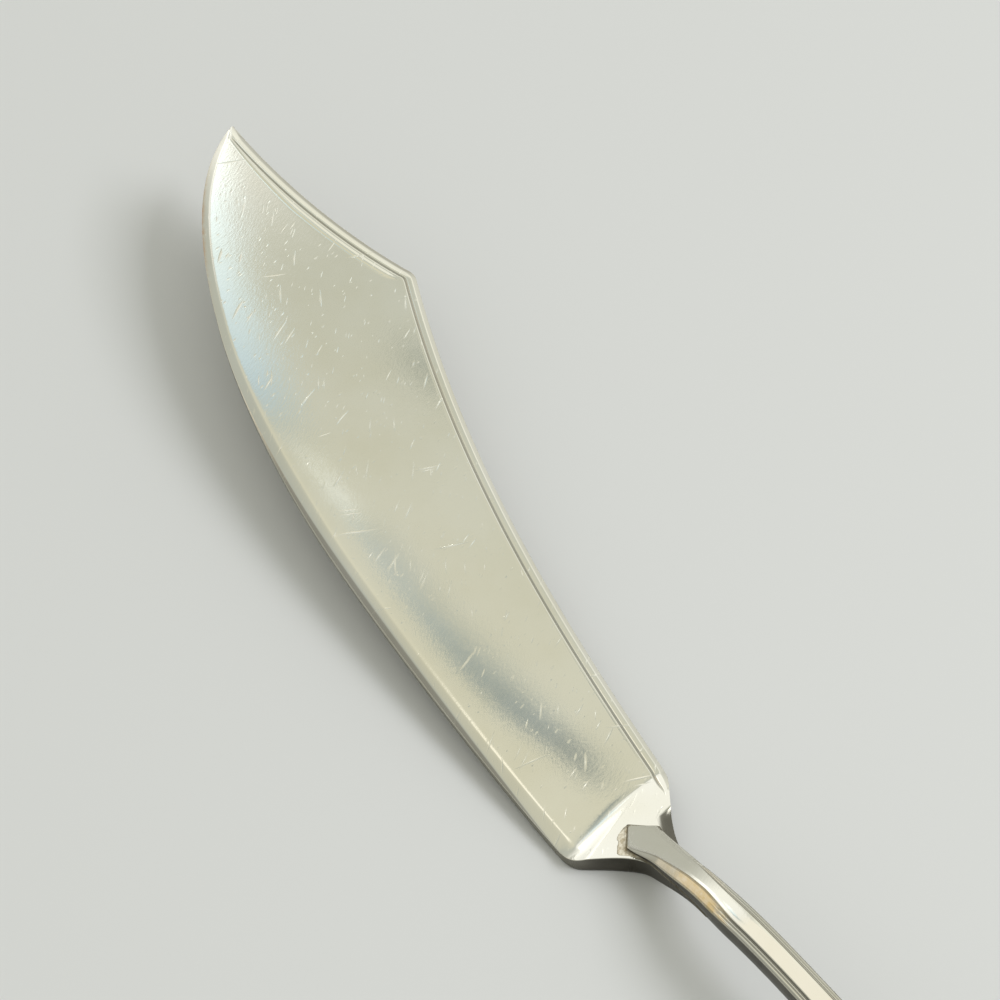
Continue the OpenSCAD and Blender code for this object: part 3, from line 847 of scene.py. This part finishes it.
# %% [markdown]
# ## The studio
#
# Silver has hardly a colour of its own: it shows the room. The room here is a pale floor under a plain
# soft dome, with one soft lamp and eleven glowing cards. A picture of a real room could stand in for
# the cards, but each card can be put where its mirror image is wanted.

# %% Floor and dome
FLOOR = 4.0
floor_corners = [(-FLOOR, -FLOOR, 0), (FLOOR, -FLOOR, 0), (FLOOR, FLOOR, 0), (-FLOOR, FLOOR, 0)]
floor_mesh = bpy.data.meshes.new("floor")
floor_mesh.from_pydata(floor_corners, [], [(0, 1, 2, 3)])
floor = bpy.data.objects.new("floor", floor_mesh)
bpy.context.scene.collection.objects.link(floor)
material, tree = new_material("pale_matt_board")
shader = add(tree, "BsdfPrincipled", {"Base Color": linear("#dddcd8"), "Roughness": 0.9})
add(tree, "OutputMaterial", {"Surface": shader.outputs[0]})
floor.data.materials.append(material)

world = bpy.data.worlds.new("soft_dome")
world.use_nodes = True
bpy.context.scene.world = world
tree = world.node_tree
tree.nodes.clear()
height = add(tree, "SeparateXYZ", {0: add(tree, "TexCoord").outputs["Generated"]})
dome = add(tree, "ValToRGB", {0: height.outputs["Z"]})
shade_stops(dome, (0.05, "#c0c0bc"), (0.86, "#cfd4d1"), (0.95, "#e8e8db"))
shade = add(tree, "MapRange", {0: height.outputs["Y"], 1: 0.0, 2: 0.3, 3: 1.0, 4: 0.88})
sky = add(tree, "Background", {"Color": dome.outputs[0], "Strength": shade.outputs[0]})
add(tree, "OutputWorld", {"Surface": sky.outputs[0]})
print("floor", 2 * FLOOR, "m wide, dome of", len(dome.color_ramp.elements), "shades")

# %% [markdown]
# ### Cards
#
# A card is a glowing sheet that shows only in reflections. Its edges fade, as a window's image does in
# old silver. Five cards are placed by where their mirror images should lie on the blade: a line from
# the camera through a pixel there is reflected in the plane of the blade's face and followed up to the
# card's height. One more hangs low over the handle.

# %% How a card is made and placed
face_slope = lift - (heel_t - tip_t) / blade_len
face_normal = Vector((-face_slope * turn_c, face_slope * turn_s, 1)).normalized()
MID_X, MID_T = 45, 1.2
face_spot = (turned((MID_X, 0)).to_3d() - knife_mid.to_3d() + Vector((0, 0, bend_z(MID_X) + MID_T))) * MM
right = look.cross(Vector((0, 0, 1))).normalized()
up = right.cross(look)


def mirrored(height, pixels):
    """The points at a height that the blade's face mirrors at pixels of the picture."""
    points = []
    for px, py in pixels:
        ray = look + right * (px - FRAME_PX / 2) / FOCAL_PX + up * (FRAME_PX / 2 - py) / FOCAL_PX
        hit = eye + ray * ((face_spot - eye).dot(face_normal) / ray.dot(face_normal))
        bounced = ray.reflect(face_normal)
        points.append(hit + bounced * ((height - hit.z) / bounced.z))
    return points


def hang(name, lefts, rights, hexes, strengths, soft):
    """A card between two lines of points, with colour and strength from start to end.

    Its edges fade over shares of it: left, right, start, end.
    """
    mesh = bpy.data.meshes.new(name)
    count = len(lefts)
    mesh.from_pydata(lefts + rights, [], [(i, i + 1, count + i + 1, count + i) for i in range(count - 1)])
    layer = mesh.uv_layers.new(name="card")
    for loop in mesh.loops:
        side, step = divmod(loop.vertex_index, count)
        layer.data[loop.index].uv = (side, step / (count - 1))
    material, tree = new_material(name)
    uv = add(tree, "SeparateXYZ", {0: add(tree, "TexCoord").outputs["UV"]})
    share = 1.0
    for axis, low, high in (("X", soft[0], soft[1]), ("Y", soft[2], soft[3])):
        near = add(tree, "MapRange", {0: uv.outputs[axis], 1: 0.0, 2: low}, interpolation_type="SMOOTHSTEP")
        far = add(tree, "MapRange", {0: uv.outputs[axis], 1: 1 - high, 2: 1.0, 3: 1.0, 4: 0.0},
                  interpolation_type="SMOOTHSTEP")
        both = add(tree, "Math", {0: near.outputs[0], 1: far.outputs[0]}, operation="MULTIPLY")
        share = add(tree, "Math", {0: both.outputs[0], 1: share}, operation="MULTIPLY").outputs[0]
    level = add(tree, "MapRange", {0: uv.outputs["Y"], 3: strengths[0], 4: strengths[1]})
    tint = add(tree, "Mix", {
        "Factor": uv.outputs["Y"], "A": linear(hexes[0]), "B": linear(hexes[-1])}, data_type="RGBA")
    glow = add(tree, "Emission", {"Color": tint.outputs["Result"], "Strength": level.outputs[0]})
    clear = add(tree, "BsdfTransparent")
    mixed = add(tree, "MixShader", {0: share, 1: clear.outputs[0], 2: glow.outputs[0]})
    add(tree, "OutputMaterial", {"Surface": mixed.outputs[0]})
    mesh.materials.append(material)
    hung = bpy.data.objects.new(name, mesh)
    hung.visible_camera = False
    hung.visible_shadow = False
    hung.visible_diffuse = False
    bpy.context.scene.collection.objects.link(hung)
    print(name, "glows from", strengths[0], "to", strengths[1])


# %% Cards that the blade mirrors
WINDOW_H, HAZE_H, BAR_H = 0.2, 0.105, 0.1
window_left_px = ((150, 120), (150, 171), (150, 202), (150, 263), (180, 340), (220, 400), (262, 453))
window_right_px = ((226, 120), (226, 171), (226, 202), (240, 263), (270, 340), (288, 400), (302, 453))
hang("cool_window_card", mirrored(WINDOW_H, window_left_px), mirrored(WINDOW_H, window_right_px),
     ("#f2faff", "#c2ddf2"), (2.0, 0.75), (0.02, 0.14, 0.05, 0.2))
rim_left_px = ((290, 446), (331, 498), (346, 520))
rim_right_px = ((299, 442), (341, 494), (355, 516))
hang("window_edge_card", mirrored(BAR_H, rim_left_px), mirrored(BAR_H, rim_right_px),
     ("#f4fbff",), (1.4, 1.6), (0.3, 0.3, 0.2, 0.2))
haze_left_px = ((346, 524), (412, 620), (494, 716), (577, 772), (586, 796))
haze_right_px = ((385, 500), (455, 595), (550, 680), (625, 755), (636, 780))
hang("pale_haze_card", mirrored(HAZE_H, haze_left_px), mirrored(HAZE_H, haze_right_px),
     ("#d0d7d4",), (0.92, 0.92), (0.1, 0.8, 0.1, 0.1))
bar_left_px = ((308, 467), (346, 524), (378, 573), (412, 620), (449, 671), (494, 716), (546, 750),
               (577, 772), (584, 790))
bar_right_px = ((315, 463), (356, 518), (390, 567), (431, 611), (478, 651), (531, 689), (579, 729),
                (602, 754), (606, 776))
hang("dark_bar_card", mirrored(BAR_H, bar_left_px), mirrored(BAR_H, bar_right_px),
     ("#8f999d",), (2.3, 0.85), (0.15, 0.6, 0.1, 0.1))
corner_left_px = ((385, 352), (408, 372), (424, 394))
corner_right_px = ((436, 336), (446, 364), (450, 396))
hang("dark_corner_card", mirrored(WINDOW_H, corner_left_px), mirrored(WINDOW_H, corner_right_px),
     ("#a9b3b3",), (0.85, 0.85), (0.6, 0.05, 0.3, 0.4))

# %% Card over the handle
SHANK_H = 0.035
shank_from, shank_to = 0.0165, -0.09
hang("shank_card", [Vector((shank_from, 0.006, SHANK_H)), Vector((shank_to, 0.004, SHANK_H))],
     [Vector((shank_from, -0.012, SHANK_H)), Vector((shank_to, -0.012, SHANK_H))],
     ("#fffdf8",), (1.12, 1.0), (0.12, 0.12, 0.05, 0.1))

# %% [markdown]
# ### Windows and lamp
#
# Five cards are windows further off, each aimed by two angles at a slope that should catch it, such as
# the one at the heel. The one lamp gives the knife its soft shadow on the floor, which the cards don't
# light.

# %% Windows further off


def pane(left, right, elevations, distance=0.9):
    """Two sides of a window in directions from the middle of the knife, by angles in degrees."""
    sides = []
    for azimuth in (math.radians(left), math.radians(right)):
        angles = [math.radians(elevation) for elevation in elevations]
        sides.append([distance * Vector((
            math.cos(e) * math.cos(azimuth), math.cos(e) * math.sin(azimuth), math.sin(e))) for e in angles])
    return sides


hang("far_window_card", *pane(-45, 8, (57, 39, 20)), ("#fbfdff",), (1.08, 1.3), (0.2, 0.35, 0.12, 0.35))
hang("hot_pane_card", *pane(-18, -4, (50, 1), 0.8), ("#fbfdff",), (2.2, 0.85), (0.2, 0.25, 0.2, 0.1))
hang("side_window_card", *pane(-115, -40, (55, 5)), ("#fafcf9",), (1.25, 0.6), (0.2, 0.1, 0.15, 0.1))
hang("low_window_card", *pane(8, 54, (36, 2)), ("#fff6e8",), (0.95, 0.95), (0.25, 0.25, 0.25, 0.2))
hang("overhead_card", *pane(-45, 45, (70, 88)), ("#fffdf4",), (1.3, 1.15), (0.2, 0.2, 0.25, 0.1))

# %% Lamp
LAMP_FAR, LAMP_SIZE, LAMP_WATTS = 0.9, 0.4, 4.1
away = Vector((-0.45, -0.5, 0.74)).normalized()
light = bpy.data.lights.new("soft_key_lamp", "AREA")
light.shape = "RECTANGLE"
light.size, light.size_y = LAMP_SIZE, LAMP_SIZE
light.energy = LAMP_WATTS
light.color = linear("#f4f7ff")[:3]
lamp = bpy.data.objects.new("soft_key_lamp", light)
lamp.location = away * LAMP_FAR
lamp.rotation_mode = "QUATERNION"
lamp.rotation_quaternion = (-away).to_track_quat("-Z", "Y")
bpy.context.scene.collection.objects.link(lamp)
print("lamp of", LAMP_WATTS, "W,", LAMP_FAR, "m away")

# %% [markdown]
# ## The end
#
# The picture is shown with the Standard view, so colours come out as they are written.

# %% Finish
bpy.context.scene.view_settings.view_transform = "Standard"
